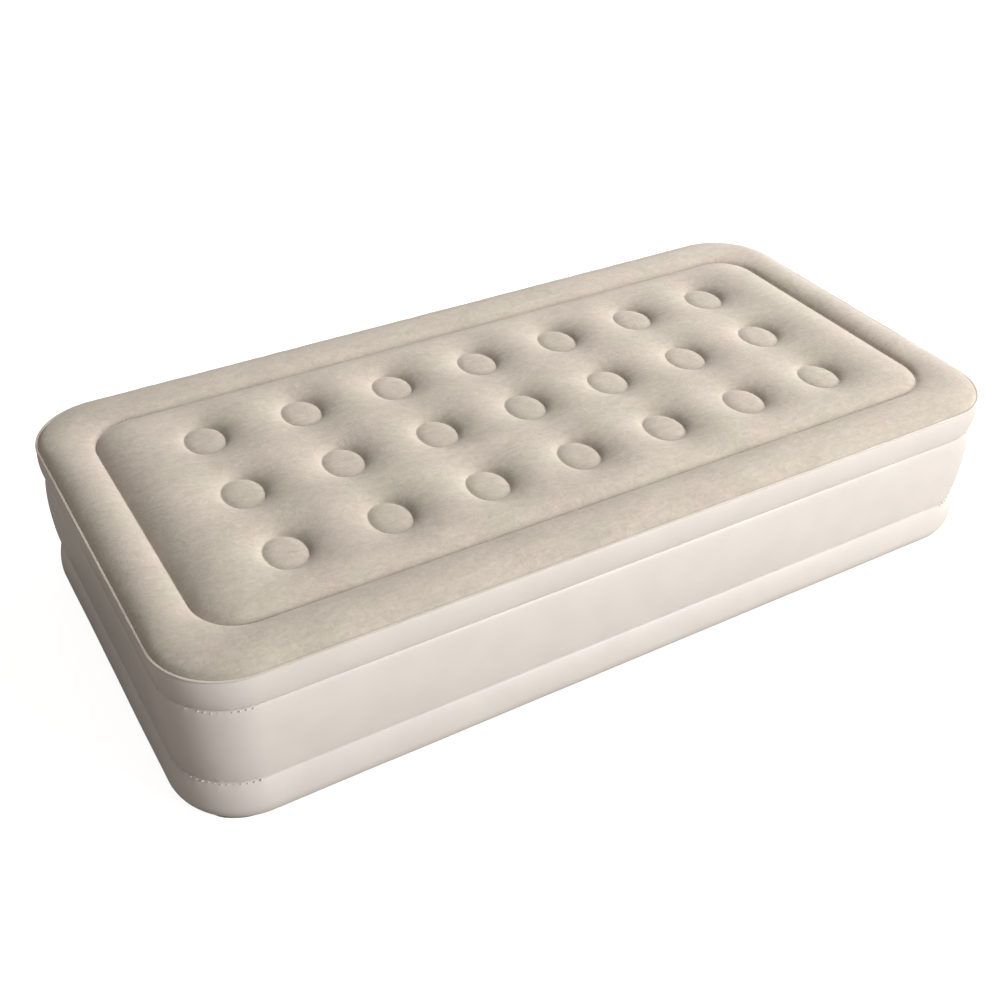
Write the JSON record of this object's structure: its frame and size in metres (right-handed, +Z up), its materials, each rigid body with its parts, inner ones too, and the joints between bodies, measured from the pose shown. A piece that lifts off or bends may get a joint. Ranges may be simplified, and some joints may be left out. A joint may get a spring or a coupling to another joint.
{
  "type": "air mattress",
  "caption": "Raised single air bed with a flocked top, welded coil dimples, a rolled border, banded vinyl sides and a built-in electric pump in one end.",
  "frame": {"origin": "on the floor under the middle of the bed", "axes": "+X along the length towards the pump end, +Y across the bed, +Z up"},
  "size_m": [1.905, 0.965, 0.381],
  "materials": {
    "flocked_top": "short velvety flock, soft cloudy nap",
    "side_vinyl": "smooth satin vinyl, warm cream",
    "seam_vinyl": "satin welded edge",
    "base_vinyl": "matt textured vinyl",
    "inner_vinyl": "satin",
    "face_plastic": "fine texture",
    "dark_plastic": "moulded",
    "switch_plastic": "gloss",
    "black_rubber": "matt",
    "bright_steel": "bright"
  },
  "bodies": {
    "bed": {"blower_back_plate": "dark_plastic", "blower_cover": "dark_plastic", "border_web": "inner_vinyl", "bottom_sheet": "base_vinyl", "coil_tube_1_1": "inner_vinyl", "coil_tube_1_2": "inner_vinyl", "coil_tube_1_3": "inner_vinyl", "coil_tube_2_1": "inner_vinyl", "coil_tube_2_2": "inner_vinyl", "coil_tube_2_3": "inner_vinyl", "coil_tube_3_1": "inner_vinyl", "coil_tube_3_2": "inner_vinyl", "coil_tube_3_3": "inner_vinyl", "coil_tube_4_1": "inner_vinyl", "coil_tube_4_2": "inner_vinyl", "coil_tube_4_3": "inner_vinyl", "coil_tube_5_1": "inner_vinyl", "coil_tube_5_2": "inner_vinyl", "coil_tube_5_3": "inner_vinyl", "coil_tube_6_1": "inner_vinyl", "coil_tube_6_2": "inner_vinyl", "coil_tube_6_3": "inner_vinyl", "coil_tube_7_1": "inner_vinyl", "coil_tube_7_2": "inner_vinyl", "coil_tube_7_3": "inner_vinyl", "cord_box": "dark_plastic", "cord_gland": "black_rubber", "face_gasket": "black_rubber", "face_plate": "face_plastic", "face_screws": "bright_steel", "flap_pin": "bright_steel", "intake_grille": "dark_plastic", "knob_seal_ring": "black_rubber", "lid_hinge_pin": "bright_steel", "lower_side_band": "side_vinyl", "lower_waist_web": "inner_vinyl", "middle_side_band": "side_vinyl", "motor_can": "bright_steel", "motor_damper": "black_rubber", "motor_screws": "bright_steel", "outlet_duct": "dark_plastic", "pump_collar": "side_vinyl", "pump_well": "dark_plastic", "switch_body": "dark_plastic", "top_seam_flange": "seam_vinyl", "top_sheet": "flocked_top", "upper_side_band": "side_vinyl", "upper_waist_web": "inner_vinyl", "valve_seat": "dark_plastic"},
    "knob": {"mode_knob": "face_plastic", "selector_drum": "dark_plastic"},
    "rocker": {"power_rocker": "switch_plastic"},
    "lid": {"cord_lid": "face_plastic"},
    "blower_wheel": {"impeller": "dark_plastic", "motor_shaft": "bright_steel"},
    "flap": {"valve_flap": "black_rubber"}
  },
  "joints": [
    {"name": "mode_knob_turn", "type": "hinge", "parent": "bed", "child": "knob", "pos_m": [0.931, 0.062, 0.198], "axis": [1, 0, 0], "range_deg": [-90, 90]},
    {"name": "power_rocker_tilt", "type": "hinge", "parent": "bed", "child": "rocker", "pos_m": [0.928, 0.002, 0.228], "axis": [0, 1, 0], "range_deg": [-8, 8]},
    {"name": "cord_lid_hinge", "type": "hinge", "parent": "bed", "child": "lid", "pos_m": [0.929, -0.068, 0.1583], "axis": [0, 1, 0], "range_deg": [0, 95]},
    {"name": "blower_wheel_spin", "type": "hinge", "parent": "bed", "child": "blower_wheel", "pos_m": [0.89, 0.062, 0.198], "axis": [1, 0, 0], "continuous": true},
    {"name": "valve_flap_swing", "type": "hinge", "parent": "bed", "child": "flap", "pos_m": [0.8675, -0.1167, 0.2115], "axis": [1, 0, 0], "range_deg": [-60, 0], "stiffness_Nm_per_rad": 0.004}
  ]
}
